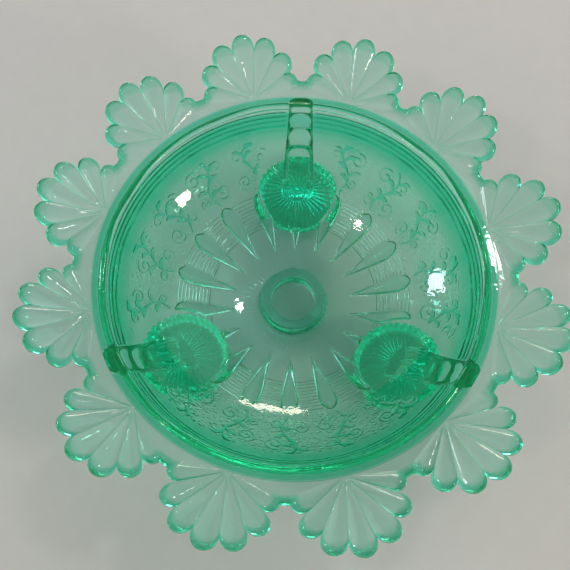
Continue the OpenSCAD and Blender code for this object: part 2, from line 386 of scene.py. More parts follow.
def outside_relief(r, theta):
    """How far the outside stands out from the plain curve, in mm."""
    drop = RIM_H - outside_z(r)
    off = (theta - FIRST_LEG + PETAL_PITCH / 2) % PETAL_PITCH - PETAL_PITCH / 2
    panel = np.floor((theta - FIRST_LEG + PETAL_PITCH / 2) / PETAL_PITCH).astype(int)

    fine_steps = STEP_RISE * ((drop - RIM_T) / STEP_PITCH % 1) ** 1.5
    fine_steps = fine_steps * window(drop, RIM_T + 0.4, STEPS_LOW - 0.1, 0.2)

    half = np.maximum(petal_half_angle(r), 1e-6)
    petal = PETAL_RISE * np.maximum(0, 1 - (off / half) ** 2) ** 0.75 * (half > 1e-5)
    groove_off = (np.abs(off) - half) * r
    groove = -PETAL_GROOVE * np.exp(-((groove_off / GROOVE_W) ** 2))
    groove = groove * window(r, PETAL_LOW_R, PETAL_HIGH_R, 2)

    rung = 0.5 + 0.5 * np.cos(2 * math.pi * (r - LADDER_LOW_R) / LADDER_PITCH)
    between = past(np.abs(off) * r, half * r + 0.5, 0.4)
    ladder = RUNG_RISE * rung**3 * between * window(r, LADDER_LOW_R, LADDER_HIGH_R, 0.4)

    rays = RAY_RISE * np.abs(np.cos(theta * PETALS * 1.5))
    rays = rays * window(r, 0.2 * RIM_R, 0.27 * RIM_R, 2)

    band_r = np.linspace(SCROLL_LOW_R, SCROLL_HIGH_R, 500)
    run = np.concatenate([[0], np.cumsum(np.hypot(np.diff(band_r), np.diff(outside_z(band_r))))])
    up = np.interp(r, band_r, run)
    across = off * (SCROLL_LOW_R + SCROLL_HIGH_R) / 2 * np.where(panel % 2, -1, 1)
    in_band = (r > SCROLL_LOW_R - 1) & (r < SCROLL_HIGH_R + 1)
    scrolls = scroll_relief(across, up, panel, in_band)
    scrolls = scrolls * window(r, SCROLL_LOW_R, SCROLL_HIGH_R, 0.8)
    border = (PETAL_PITCH / 2 - np.abs(off)) * r
    panels = PANEL_RISE * np.cos(off * PETALS)
    panels = panels - BORDER_GROOVE * np.exp(-((border / GROOVE_W) ** 2))
    panels = panels * window(r, SCROLL_LOW_R, SCROLL_HIGH_R + 3, 2)

    lateral = r * np.sin(leg_angle_off(theta))
    ahead = r * np.cos(leg_angle_off(theta))
    behind_leg = short_of(np.abs(lateral), leg_width(ahead) / 2 + 0.3, 1.2)
    behind_leg = behind_leg * (ahead > LEG_LEAVES_R - 1)
    over_foot = short_of(np.hypot(lateral, ahead - FOOT_ORBIT_R + 2), FOOT_R - 3, 2)
    clear = 1 - np.maximum(behind_leg, over_foot)
    return (fine_steps + petal + groove + ladder + rays + scrolls + panels) * clear


# ---- Bowl ----------------------------------------------------------------------

FLOOR_MIDDLE_R = 15.0  # the plain middle of the outside


def wall_painted_shade(r):
    """Painted shade by distance from the axis: a pale floor, and a deep green painted on the wall
    where long light paths make it look dark.
    """
    share = r / RIM_R
    return 0.35 * ease((share - 0.58) / 0.2) + 0.5 * ease((share - 0.83) / 0.08)


def bowl_radii():
    """Radii of the rows of points, out along the inside and back along the outside."""
    in_edge = curve_r(RIM_T, INNER_MOUTH_R, INNER_DEPTH)
    out_edge = curve_r(RIM_T, OUTER_MOUTH_R, OUTER_DEPTH)
    inner = np.concatenate([
        np.linspace(0, SOCKET_BORE_R, 8)[1:],
        np.linspace(SOCKET_BORE_R, SOCKET_BASE_R, 5)[1:],
        even_radii(inside_z, SOCKET_BASE_R, in_edge, steps(48))[1:],
    ])
    outer = np.concatenate([
        np.linspace(0, FLOOR_MIDDLE_R, 10)[1:],
        even_radii(outside_z, FLOOR_MIDDLE_R, PETAL_LOW_R, steps(16))[1:],
        even_radii(outside_z, PETAL_LOW_R, LADDER_LOW_R, steps(26))[1:],
        even_radii(outside_z, LADDER_LOW_R, LADDER_HIGH_R, steps(80))[1:],
        even_radii(outside_z, LADDER_HIGH_R, SCROLL_LOW_R, steps(8))[1:],
        even_radii(outside_z, SCROLL_LOW_R, out_edge, steps(150))[1:],
    ])
    return inner, outer[::-1]


def bowl_skin(points, faces, cols, joint_row):
    """0 under the socket, in the joint with the rim band and behind the legs, else 1."""
    middle = face_middles(points, faces)
    r = np.hypot(middle[:, 0], middle[:, 1])
    theta = np.arctan2(middle[:, 1], middle[:, 0])
    spans = len(faces[0]) // cols
    row = np.concatenate([
        np.repeat(np.arange(spans), cols), np.full(cols, -1), np.full(cols, spans + 1)
    ])
    under_socket = (row < joint_row) & (r > SOCKET_BORE_R) & (r < SOCKET_BASE_R)
    lateral = np.abs(r * np.sin(leg_angle_off(theta)))
    ahead = r * np.cos(leg_angle_off(theta))
    at_leg = (row > joint_row) & (lateral < leg_width(ahead) / 2) & (ahead > LEG_LEAVES_R)
    return 1.0 - (under_socket | (row == joint_row) | at_leg)


def build_bowl(material):
    cols = steps(1080)
    theta = circle(cols)
    inner_r, outer_r = bowl_radii()
    rows = [ring(r, inside_z(r), theta) for r in inner_r]
    # Painted shade on the inside: the wall's deeper green
    painted_shade = [np.full(cols, wall_painted_shade(r)) for r in inner_r]
    rows[-1][:, 2] = JOINT_Z - GAP

    grid_r, grid_t = np.meshgrid(outer_r, theta, indexing="ij")
    drop = RIM_H - outside_z(grid_r)
    relief = outside_relief(grid_r, grid_t) * past(drop, RIM_T + 0.3, 0.3)
    slope = (outside_z(grid_r + 0.01) - outside_z(grid_r - 0.01)) / 0.02
    length = np.hypot(slope, 1)
    out_x = relief * slope / length
    out_z = -relief / length
    for i, r in enumerate(outer_r):
        rows.append(ring(r + out_x[i], outside_z(r) + out_z[i], theta))
        # Painted shade on the outside: the wall's deeper green, more of it on the raised relief so
        # that it shows as darker lines, fading out near the rim band
        line = 1.3 * np.maximum(0, relief[i] - 0.12) * (r > LADDER_LOW_R)
        line = np.where(r < SCROLL_LOW_R, 0.5 * np.minimum(line, 0.5), line)
        painted_shade.append((wall_painted_shade(r) + line) * past(drop[i], RIM_T + 2, 1.8))
    rows[len(inner_r)][:, 2] = JOINT_Z - GAP

    points, faces = capped_grid(rows, (0, 0, inside_z(0)), (0, 0, outside_z(0)))
    skin = bowl_skin(points, faces, cols, len(inner_r) - 1)
    painted_shade = np.concatenate(painted_shade + [[0, 0]])
    add_piece((points, faces, skin, painted_shade), "bowl", material)


# ---- Rim band ------------------------------------------------------------------


BEAD_R = 1.5  # the round bead along the mouth
RIM_EDGE_R = 0.3
NECK_FILLET_R = 1.0


def rim_wave(theta):
    """The slow waves that fire polishing leaves in the rim's inner edge."""
    return 0.5 * np.sin(11 * theta + 0.7) + 0.3 * np.sin(17 * theta + 2.1) + 0.2 * np.sin(5 * theta)


def build_rim(material):
    theta = circle(steps(720))
    out_edge = curve_r(RIM_T, OUTER_MOUTH_R, OUTER_DEPTH)

    # The section, from the joint with the bowl up the inside, with how much each point
    # takes part in the waves of the edge
    bead_mid = (RIM_R - RIM_FLAT_W + 0.3, RIM_H - BEAD_R + 0.45)
    wall = [(curve_r(d, INNER_MOUTH_R, INNER_DEPTH), RIM_H - d, min(0.2, (RIM_T - d) / 3))
            for d in np.linspace(RIM_T, 2.6, 6)]
    round_lip = np.linspace(-0.35, math.pi - 0.75, 18)
    lip = [(bead_mid[0] - BEAD_R * math.cos(a), bead_mid[1] + BEAD_R * math.sin(a), 1)
           for a in round_lip]
    flat_in = lip[-1][0] + 0.5
    flat_out = RIM_R - RIM_EDGE_R
    flat = [(r, RIM_H, 0) for r in np.linspace(flat_in, flat_out, 6)[1:-1]]
    edge = [(flat_out + RIM_EDGE_R * math.sin(a), RIM_H - RIM_EDGE_R + RIM_EDGE_R * math.cos(a), 0)
            for a in np.linspace(0, math.pi / 2, 5)]
    upper = wall + lip + flat + edge
    wave = 0.25 * rim_wave(theta)
    rows = [ring(r + share * wave, z, theta) for r, z, share in upper]

    # The underside of the flange and the neck below it, rounded together except at a leg
    flange_z = RIM_H - PLATE_T
    rows.append(ring(RIM_R, flange_z, theta))
    at_a_leg = window(RIM_R * leg_angle_off(theta), -LEG_TOP_W / 2, LEG_TOP_W / 2, 1)
    fillet = np.maximum(GAP, NECK_FILLET_R * (1 - at_a_leg))
    for a in np.linspace(math.pi / 2, 0, 7):
        r = out_edge + fillet * (1 - math.cos(a))
        rows.append(ring(r, flange_z - fillet * (1 - math.sin(a)), theta))
    rows.append(ring(out_edge, JOINT_Z, theta))

    points, faces = closed_loop(rows)
    row = np.repeat(np.arange(len(rows)), len(theta))
    fan_side = len(upper) - 1
    middle = face_middles(points, faces)
    off_leg = leg_angle_off(np.arctan2(middle[:, 1], middle[:, 0]))
    across_leg = np.hypot(middle[:, 0], middle[:, 1]) * off_leg
    at_leg = (np.abs(across_leg) < LEG_TOP_W / 2) & (row > fan_side)
    skin = 1.0 - ((row == len(rows) - 1) | (row == fan_side) | at_leg)

    # Painted shade: a faint green everywhere, and a deep green painted on the round lip, over the
    # flat top and on the first rows under the flange
    painted_shade = np.full(len(rows), 0.03)
    painted_shade[len(wall):len(wall + lip)] += 0.9 * window(round_lip, 1.35, 2.2, 0.5)
    painted_shade[len(wall + lip):len(wall + lip + flat)] = 0.85
    painted_shade[len(upper):len(upper) + 3] = 0.6
    painted_shade = np.repeat(painted_shade, len(theta))
    add_piece((points, faces, skin, painted_shade), "rim_band", material)


# ---- Socket --------------------------------------------------------------------


SOCKET_LIP_R = 1.9
SOCKET_BORE_ROUND_R = 1.1
SOCKET_RIB_DEPTH = 0.45


def build_socket(material):
    theta = circle(steps(432))
    base = inside_z(SOCKET_BASE_R)
    lip_z = SOCKET_TOP - SOCKET_LIP_R
    bore_top = SOCKET_TOP - SOCKET_BORE_ROUND_R

    # The section, from the foot of the outside over the top and down the bore, with how
    # much each point takes part in the ribs
    flare = [(SOCKET_BASE_R - (SOCKET_BASE_R - SOCKET_TOP_R) * (1 - (1 - t) ** 2),
              base + (lip_z - base) * t, 1 - t) for t in np.linspace(0, 1, 14)]
    round_lip = np.linspace(0, math.pi / 2, 12)[1:]
    shoulder = [(SOCKET_TOP_R - SOCKET_LIP_R + SOCKET_LIP_R * math.cos(a),
                 lip_z + SOCKET_LIP_R * math.sin(a), 0) for a in round_lip]
    brim = [(SOCKET_BORE_R + SOCKET_BORE_ROUND_R * (1 - math.sin(a)),
             bore_top + SOCKET_BORE_ROUND_R * math.cos(a), 0)
            for a in np.linspace(0, math.pi / 2, 8)]
    bore = [(SOCKET_BORE_R, z, 0)
            for z in np.linspace(bore_top, inside_z(SOCKET_BORE_R) + GAP * 2, 8)[1:]]
    sole = [(r, inside_z(r) + GAP * 2, 0)
            for r in np.linspace(SOCKET_BORE_R, SOCKET_BASE_R, 5)[1:-1]]
    rows = []
    for r, z, ribbed in flare + shoulder + brim + bore + sole:
        rib = SOCKET_RIB_DEPTH * ribbed * (1 - np.abs(np.cos(theta * PETALS))) * (ribbed < 0.999)
        rows.append(ring(r - rib, z, theta))

    points, faces = closed_loop(rows)
    row = np.repeat(np.arange(len(rows)), len(theta))
    skin = 1.0 - (row >= len(rows) - len(sole) - 1)
    # Painted shade: a green painted deeper at the flare's foot, on the shoulder and at the bore's
    # edge, fading down the bore
    painted_shade = np.concatenate([
        np.linspace(0.25, 0.05, len(flare)),
        0.8 * window(round_lip, 0.25, 0.6, 0.3),
        0.9 * np.linspace(0, 1, len(brim)) ** 2,
        np.linspace(0.6, 0.1, len(bore)),
        np.full(len(sole), 0.1),
    ])
    painted_shade = np.repeat(painted_shade, len(theta))
    add_piece((points, faces, skin, painted_shade), "center_socket", material)


# ---- Shell fans ----------------------------------------------------------------


def lobe_of(a):
    return np.clip(np.round(a / LOBE_STEP), -LOBES_ASIDE, LOBES_ASIDE)


def lobe_length(k):
    return LOBE_LEN * (1 - LOBE_SHORTENING * (k / LOBES_ASIDE) ** 2)


def lobe_end_r(k):
    return lobe_length(k) * math.sin(LOBE_HALF) / (1 + math.sin(LOBE_HALF))


def lobe_reach(a):
    """Distance from the hub to the outline of the lobe in this direction."""
    k = lobe_of(a)
    off = a - k * LOBE_STEP
    mid = lobe_length(k) - lobe_end_r(k)
    return mid * np.cos(off) + np.sqrt(np.maximum(0, lobe_end_r(k) ** 2 - (mid * np.sin(off)) ** 2))


def circle_reach(a, radius):
    """Distance from the hub to a circle round the bowl's axis."""
    across = (PLAN_SCALE * np.cos(a)) ** 2 + np.sin(a) ** 2
    along = RIM_R * PLAN_SCALE * np.cos(a)
    rest = RIM_R**2 - radius**2
    return (-along + np.sqrt(np.maximum(0, along**2 - across * rest))) / across


def plane_reach(a):
    """Distance from the hub to the plane half way to the next fan."""
    slope = math.tan(FAN_PITCH / 2)
    return (RIM_R * slope - GAP) / (np.sin(np.abs(a)) - slope * PLAN_SCALE * np.cos(a))


def lobe_height(a, reach):
    """Height of a lobe above its plate: a cone from the hub with a ball at its end."""
    k = lobe_of(a)
    off = a - k * LOBE_STEP
    along = reach * np.cos(off)
    across = reach * np.sin(off)
    end_r = lobe_end_r(k)
    mid = lobe_length(k) - end_r
    cone_r = np.maximum(1e-6, along * math.tan(LOBE_HALF))
    cone = cone_r * np.maximum(0, 1 - (across / cone_r) ** 2) ** LOBE_POWER
    from_mid = (along - mid) ** 2 + across**2
    ball = end_r * np.maximum(0, 1 - from_mid / end_r**2) ** LOBE_POWER
    match = math.cos(LOBE_HALF) ** (1 - 2 * LOBE_POWER)
    return LOBE_PUFF * np.where(along < mid * math.cos(LOBE_HALF) ** 2, cone, ball * match)


def plate_z(x):
    return RIM_H + TIP_RISE * (np.maximum(0, x) / (TIP_R - RIM_R)) ** 1.4


CORNER = math.atan2(math.sin(FAN_PITCH / 2), (math.cos(FAN_PITCH / 2) - 1) / PLAN_SCALE)
NOTCH = math.atan2(
    NOTCH_R * math.sin(FAN_PITCH / 2),
    (NOTCH_R * math.cos(FAN_PITCH / 2) - RIM_R) / PLAN_SCALE,
)


def fan_directions():
    """Angles of a fan's columns, close together at the valleys and at the notch."""
    ease = np.sin(np.linspace(0, math.pi / 2, steps(11)))
    half = []
    for k in range(LOBES_ASIDE + 1):
        crest = k * LOBE_STEP
        if k:
            half.append(crest - LOBE_HALF * ease[::-1])
        if k < LOBES_ASIDE:
            half.append(crest + LOBE_HALF * ease)
    edge = (LOBES_ASIDE + 0.5) * LOBE_STEP
    half.append(np.linspace(LOBES_ASIDE * LOBE_STEP, NOTCH, steps(7)))
    half.append(NOTCH + (edge - NOTCH) * np.linspace(0, 1, steps(9)) ** 2)
    half.append(np.linspace(edge, CORNER - 0.002, steps(10)))
    half = np.unique(np.round(np.concatenate(half), 7))
    return np.concatenate([-half[:0:-1], half])


def fan_grid():
    """A column of directions from the hub, which of them are free, and distances along each."""
    a = fan_directions()[:, None]
    free = np.abs(a) < NOTCH
    behind = np.maximum(HUB_R, circle_reach(a, RIM_R + GAP * 2))
    near = np.where(np.abs(a) <= math.pi / 2, HUB_R, behind)
    outline = np.maximum(lobe_reach(a), circle_reach(a, NOTCH_R))
    far = np.maximum(np.where(free, outline, plane_reach(a)), near + 0.02)

    # Rows run from the hub to where the edge begins to round off, then round it
    run_in = np.linspace(0, 1, steps(34))[None, :]
    turn = np.linspace(0, math.pi / 2, steps(11))[None, 1:]
    reach = np.concatenate([
        near + run_in * (far - EDGE_R - near),
        far - EDGE_R * (1 - np.sin(turn)),
    ], axis=1)
    plain = near + np.linspace(0, 1, reach.shape[1])[None, :] * (far - near)
    return a, free, np.where(free & (far - near > 2 * EDGE_R), reach, plain)


def fan_faces(rows, cols):
    """Blocks of faces: the top, the underside, and the four edges between them."""
    half = rows * cols
    i = np.arange(rows - 1)[:, None]
    j = np.arange(cols - 1)[None, :]
    quad = np.stack([i * cols + j, (i + 1) * cols + j, (i + 1) * cols + j + 1, i * cols + j + 1], -1)
    quad = quad.reshape(-1, 4)
    i = np.arange(rows - 1)
    j = np.arange(cols - 1)
    hub = np.stack([i * cols, (i + 1) * cols, half + (i + 1) * cols, half + i * cols], -1)
    rim = hub[:, ::-1] + cols - 1
    first = np.stack([j, j + 1, half + j + 1, half + j], -1)
    last = (first + (rows - 1) * cols)[:, ::-1]
    return [quad, (quad + half)[:, ::-1], hub[:, ::-1], rim[:, ::-1], first, last]


def fan_skin(points, faces, free, leg_side):
    """0 at the rim band, at the next fans and where a leg stands under the fan, else 1."""
    top, underside, hub, _, first, last = faces
    under = points[underside].mean(axis=1)
    off_leg = np.arctan2(under[:, 1], under[:, 0]) - leg_side * FAN_PITCH / 2
    from_axis = np.hypot(under[:, 0], under[:, 1])
    on_leg = np.abs(from_axis * np.sin(off_leg)) < LEG_TOP_W / 2
    on_leg &= (from_axis * np.cos(off_leg) < LEG_TOP_R - 0.2) & (leg_side != 0)
    free_edge = (free[:-1, 0] | free[1:, 0]).astype(float)
    return np.concatenate([
        np.ones(len(top)), 1.0 - on_leg, np.zeros(len(hub)), free_edge,
        np.zeros(len(first) + len(last)),
    ])


def fan_painted_shade(a, x, reach, to_edge):
    """Painted shade: deep green painted along the lobes' ends and in the valleys, and a little on
    the crests.
    """
    outline = np.clip(to_edge / PAINTED_OUTLINE_W, 0, 1)
    outline = 0.95 * (1 - outline**4) ** 0.7 * (x > 0)
    aside = (LOBE_HALF - np.abs(a - lobe_of(a) * LOBE_STEP)) * reach
    valley = 0.45 * np.exp(-((aside / 0.45) ** 2)) * (np.abs(a) < (LOBES_ASIDE + 0.4) * LOBE_STEP)
    crest = 0.16 * np.clip(lobe_height(a, reach) / 2.9, 0, 1)
    return np.maximum(np.maximum(outline, crest), valley * (reach > 2))


def fan_shape(leg_side):
    """A fan, lying along +X. leg_side is 1 or -1 for a leg on that side of it, or 0."""
    a, free, reach = fan_grid()
    x = reach * np.cos(a) * PLAN_SCALE
    y = reach * np.sin(a)
    to_edge = np.maximum(lobe_reach(a) - reach, NOTCH_R - np.hypot(RIM_R + x, y))
    short = 1 - np.clip(to_edge / EDGE_R, 0, 1)
    thick = PLATE_T / 2 * np.sqrt(np.maximum(0, 1 - short**2))
    middle = plate_z(x) - PLATE_T / 2
    top = middle + thick + lobe_height(a, reach)
    upper = np.stack([RIM_R + x, y, top], -1).reshape(-1, 3)
    lower = np.stack([RIM_R + x, y, middle - thick], -1).reshape(-1, 3)
    points = np.concatenate([upper, lower])
    faces = fan_faces(*reach.shape)
    # Painted shade on the top, and six tenths of it on the underside
    painted_shade = fan_painted_shade(a, x, reach, to_edge).ravel()
    return points, faces, fan_skin(points, faces, free, leg_side), np.concatenate([painted_shade, 0.6 * painted_shade])


def build_fans(material):
    for number, node in enumerate(sorted(FANS)):
        turn = (number + 0.5) * FAN_PITCH
        leg_side = round(-leg_angle_off(turn) / (FAN_PITCH / 2))
        shape = fan_shape(leg_side if abs(leg_side) == 1 else 0)
        add_piece(shape, node, material, turn)


# ---- Feet and legs -------------------------------------------------------------


def foot_top(distance):
    """Height of a foot's dome at a distance from its middle."""
    return FOOT_MID_T - (FOOT_MID_T - FOOT_EDGE_T) * (distance / FOOT_R) ** 2


def leg_sole(x, y):
    """Below 1 inside the end of a leg, where it stands on its foot."""
    return np.abs(x / LEG_SOLE_HALF) ** 3 + np.abs(y / (LEG_FOOT_W / 2 - 0.1)) ** 3


def foot_shape():
    """A foot, with its middle at the place of the foot that lies along +X."""
    cols = FOOT_RIBS * steps(14)
    theta = circle(cols)
    rng = np.random.default_rng(3)
    off_crest = 1 - np.abs(theta * FOOT_RIBS / (2 * math.pi) % 1 - 0.5) * 2
    notch = 1 - np.sqrt(1 - (0.98 * off_crest) ** 2)
    rib = np.abs(np.cos(theta * FOOT_RIBS / 2))
    vary = np.repeat(rng.uniform(0.8, 1.2, FOOT_RIBS), cols // FOOT_RIBS)
    valley = (1 - rib**0.9) * vary
    rows = []

    def row(r, z, scallop):
        rows.append(ring(r - FOOT_SCALLOP * scallop * notch, z, theta))

    dome_r = FOOT_R - FOOT_ROUND_R
    for r in np.linspace(0.4, dome_r, steps(44)):
        share = r / FOOT_R
        crease = FOOT_RIB_DEPTH * valley * past(share, FOOT_RIBS_FROM, 0.1)
        row(r, foot_top(r) - crease, share**2)
    for a in np.linspace(0, math.pi / 2, steps(7))[1:]:
        z = foot_top(dome_r) - FOOT_ROUND_R * (1 - math.cos(a))
        row(dome_r + FOOT_ROUND_R * math.sin(a), z - FOOT_RIB_DEPTH * valley * math.cos(a), 1)
    edge_z = foot_top(dome_r) - FOOT_ROUND_R
    for t in np.linspace(0, 1, steps(9))[1:]:
        side_r = FOOT_R + (FOOT_BASE_R - FOOT_R) * t**1.3
        row(side_r, edge_z + (FOOT_HEEL_R - edge_z) * t, 1 - 0.5 * t)
    for a in np.linspace(0, math.pi / 2, steps(5))[1:]:
        row(FOOT_BASE_R - FOOT_HEEL_R * (1 - math.cos(a)), FOOT_HEEL_R * (1 - math.sin(a)), 0.5)
    hollow_r = FOOT_BASE_R - 2 * FOOT_HEEL_R
    for r in np.linspace(FOOT_BASE_R - FOOT_HEEL_R, 0.4, steps(46))[1:]:
        share = r / hollow_r
        row(r, FOOT_HOLLOW * np.maximum(0, 1 - share**2), 0.5 * share**2)

    points, faces = capped_grid(rows, (0, 0, FOOT_MID_T), (0, 0, FOOT_HOLLOW))
    middle = face_middles(points, faces)
    at_leg = (leg_sole(middle[:, 0], middle[:, 1]) < 1) & (middle[:, 2] > FOOT_EDGE_T)
    share = np.hypot(points[:, 0], points[:, 1]) / FOOT_R
    # Painted shade: a green painted over the top, deeper in the ribs' valleys and round the edge,
    # and deep over the underside
    creases = np.concatenate([np.tile(valley, len(rows)), [0, 0]])
    on_top = points[:, 2] > FOOT_HOLLOW + 1
    painted_shade = 0.3 + 0.7 * creases**1.3 * past(share, FOOT_RIBS_FROM, 0.1)
    painted_shade = np.where(on_top, painted_shade + 0.35 * past(share, 0.9, 0.08), 0.9)
    points[:, 0] += FOOT_ORBIT_R
    return points, faces, 1.0 - at_leg, painted_shade


LEG_TOP_Z = RIM_H - PLATE_T - GAP * 2


def leg_lines(count):
    """The back and the seat of a leg from the top down, as distances from the axis and heights."""
    s = np.linspace(0, 1, count)
    back = np.array([(LEG_TOP_R - 0.2, LEG_TOP_Z), (84.6, 43), (76, 27), (65.3, 10.9)])
    bez = np.stack([(1 - s) ** 3, 3 * s * (1 - s) ** 2, 3 * s * s * (1 - s), s**3], -1)
    outer = bez @ back
    for at in (0.2, 0.42, 0.64):
        bump = 0.8 * np.exp(-(((s - at) / 0.05) ** 2))
        outer += bump[:, None] * np.array([0.89, -0.45])

    top_r = curve_r(RIM_T + 0.02, OUTER_MOUTH_R, OUTER_DEPTH)
    skin_r = even_radii(outside_z, LEG_LEAVES_R, top_r, 40)[::-1]
    on_skin = np.stack([skin_r, outside_z(skin_r)], -1)
    start = on_skin[-1]
    free_part = np.array([start, start + (-1.8, -2.6), (59.0, 17.5), (55.6, 11.5)])
    t = np.linspace(0, 1, 30)[1:, None]
    low = (1 - t) ** 3 * free_part[0] + 3 * t * (1 - t) ** 2 * free_part[1]
    low = low + 3 * t * t * (1 - t) * free_part[2] + t**3 * free_part[3]
    inner_line = np.concatenate([on_skin, low])
    run = np.concatenate([[0], np.cumsum(np.linalg.norm(np.diff(inner_line, axis=0), axis=1))])
    inner = np.stack([np.interp(s * run[-1], run, inner_line[:, i]) for i in (0, 1)], -1)
    return outer, inner


def leg_shape():
    """A leg, lying along +X: a band with a rounded back, from under the rim to its foot."""
    count = steps(90)
    outer, inner = leg_lines(count)
    fused = inner[:, 0] >= LEG_LEAVES_R  # where the seat lies on the wall

    arc = np.linspace(math.pi, 0, steps(34))
    p = np.sign(np.cos(arc)) * np.abs(np.cos(arc)) ** (2 / 3)
    q = np.abs(np.sin(arc)) ** (2 / 3)
    flat_p = np.linspace(1, -1, steps(16))[1:-1]
    across = np.concatenate([p, flat_p])
    depth = np.concatenate([q, np.zeros(len(flat_p))])
    cols = len(across)

    rows = []
    for i in range(count):
        width = leg_width(inner[i, 0]) / 2
        y = across * width
        seat_z = np.full(cols, inner[i, 1])
        if fused[i]:
            seat_r = np.minimum(np.hypot(inner[i, 0], y), OUTER_MOUTH_R - 0.2)
            seat_z = outside_z(seat_r) - GAP * 2
        x = inner[i, 0] + (outer[i, 0] - inner[i, 0]) * depth
        z = seat_z + (outer[i, 1] - seat_z) * depth
        rows.append(np.stack([x, y, z], -1))
    last = rows[-1]
    mid_x = (last[:, 0].min() + last[:, 0].max()) / 2
    half_x = (last[:, 0].max() - last[:, 0].min()) / 2
    last[:, 0] = FOOT_ORBIT_R + (last[:, 0] - mid_x) * (LEG_SOLE_HALF / half_x)
    last[:, 2] = foot_top(np.hypot(last[:, 0] - FOOT_ORBIT_R, last[:, 1])) + GAP * 2
    neck_r = curve_r(RIM_T, OUTER_MOUTH_R, OUTER_DEPTH) + GAP * 2
    rows[0][:, 0] = np.maximum(rows[0][:, 0], neck_r)
    rows[0][:, 2] = LEG_TOP_Z

    points = np.concatenate(rows)
    quads = ring_quads(count, cols)
    top_cap = np.arange(cols)[None, ::-1]
    low_cap = (np.arange(cols) + (count - 1) * cols)[None, :]
    col = np.tile(np.arange(cols), count - 1)
    row = np.repeat(np.arange(count - 1), cols)
    seat = (col >= len(p) - 1) & fused[row] & fused[row + 1]
    skin = np.concatenate([1.0 - seat, np.zeros(2)])
    # Painted shade: a faint green, painted deeper towards the leg's edges
    painted_shade = 0.03 + 0.2 * np.abs(np.tile(across, count)) ** 6
    return points, [quads, top_cap, low_cap], skin, painted_shade


def build_legs_and_feet(leg_material, foot_material):
    leg_glass = leg_shape()
    foot_glass = foot_shape()
    for number, (leg, foot) in enumerate(zip(sorted(LEGS), sorted(FEET))):
        turn = FIRST_LEG + number * LEG_PITCH
        add_piece(leg_glass, leg, leg_material, turn)
        add_piece(foot_glass, foot, foot_material, turn)


# ---- Glass ---------------------------------------------------------------------


CLEAR = ((0.93, 0.995, 0.965, 1), (0.97, 1.0, 0.985, 1))  # two shades of almost clear glass
# The deep green painted as shade where the mesh asks for it
PAINTED_SHADE_GREEN = (0.02, 0.80, 0.50, 1)
# The colour of a painted glow: light the glass gives off though it is no lamp
PAINTED_GLOW_GREEN = (0.02, 0.75, 0.42, 1)
GLASS_IOR = 1.52
MOST_HAZE = 0.04  # roughness in the haziest spots


def add_noise(nodes, links, vector, scale, detail):
    noise = nodes.new("ShaderNodeTexNoise")
    noise.inputs["Scale"].default_value = scale
    noise.inputs["Detail"].default_value = detail
    links.new(vector, noise.inputs["Vector"])
    return noise.outputs["Fac"]


def read_attribute(nodes, name):
    attribute = nodes.new("ShaderNodeAttribute")
    attribute.attribute_name = name
    return attribute.outputs["Fac"]


def glass_material(name, seed, depth, painted_glow, ripple=0.2, blue=0.76):
    """Pale green uranium glass, which deepens where light runs a long way in it, with painted
    shade where its mesh asks for it and a painted glow.

    depth is how fast it deepens, the painted glow how much light its skin gives off though it is
    no lamp, ripple how uneven its skin is, and blue how much of that colour a long path of light
    keeps.
    """
    material = bpy.data.materials.new(name)
    material.use_nodes = True
    nodes, links = material.node_tree.nodes, material.node_tree.links
    nodes.clear()
    output = nodes.new("ShaderNodeOutputMaterial")
    shader = nodes.new("ShaderNodeBsdfPrincipled")
    links.new(shader.outputs["BSDF"], output.inputs["Surface"])
    shader.inputs["Transmission Weight"].default_value = 1.0
    shader.inputs["IOR"].default_value = GLASS_IOR
    # Painted glow: the skin gives off a little green light though it is no lamp
    shader.inputs["Emission Color"].default_value = PAINTED_GLOW_GREEN
    shader.inputs["Emission Strength"].default_value = painted_glow

    place = nodes.new("ShaderNodeTexCoord")
    offset = nodes.new("ShaderNodeMapping")
    offset.inputs["Location"].default_value = (seed * 0.37, seed * 0.21, seed * 0.11)
    links.new(place.outputs["Object"], offset.inputs["Vector"])
    vector = offset.outputs["Vector"]

    # Colour: almost clear with faint clouds, and painted shade, a deep green, where the mesh's
    # points say so
    clear = nodes.new("ShaderNodeValToRGB")
    for stop, position, color in zip(clear.color_ramp.elements, (0.3, 0.7), CLEAR):
        stop.position = position
        stop.color = color
    links.new(add_noise(nodes, links, vector, 45, 3), clear.inputs["Fac"])
    blend = nodes.new("ShaderNodeMix")
    blend.data_type = "RGBA"
    clear_input, painted_shade_input, blended = blend.inputs[6], blend.inputs[7], blend.outputs[2]
    links.new(read_attribute(nodes, "painted_shade"), blend.inputs["Factor"])
    links.new(clear.outputs["Color"], clear_input)
    painted_shade_input.default_value = PAINTED_SHADE_GREEN
    links.new(blended, shader.inputs["Base Color"])

    # Handling marks: small spots of haze
    rough = nodes.new("ShaderNodeMapRange")
    rough.inputs["From Min"].default_value = 0.45
    rough.inputs["From Max"].default_value = 0.75
    rough.inputs["To Min"].default_value = 0.0
    rough.inputs["To Max"].default_value = MOST_HAZE
    links.new(add_noise(nodes, links, vector, 130, 4), rough.inputs["Value"])
    links.new(rough.outputs["Result"], shader.inputs["Roughness"])

    # The slight unevenness of pressed glass
    bump = nodes.new("ShaderNodeBump")
    bump.inputs["Strength"].default_value = ripple
    bump.inputs["Distance"].default_value = 0.0004
    links.new(add_noise(nodes, links, vector, 260, 2), bump.inputs["Height"])
    links.new(bump.outputs["Normal"], shader.inputs["Normal"])

    links.new(read_attribute(nodes, "skin"), shader.inputs["Alpha"])
    absorb = nodes.new("ShaderNodeVolumeAbsorption")
    absorb.inputs["Color"].default_value = (0.0, 0.93, blue, 1)
    absorb.inputs["Density"].default_value = depth
    links.new(absorb.outputs["Volume"], output.inputs["Volume"])
    return material


# ---- Stage, camera and lights ---------------------------------------------------

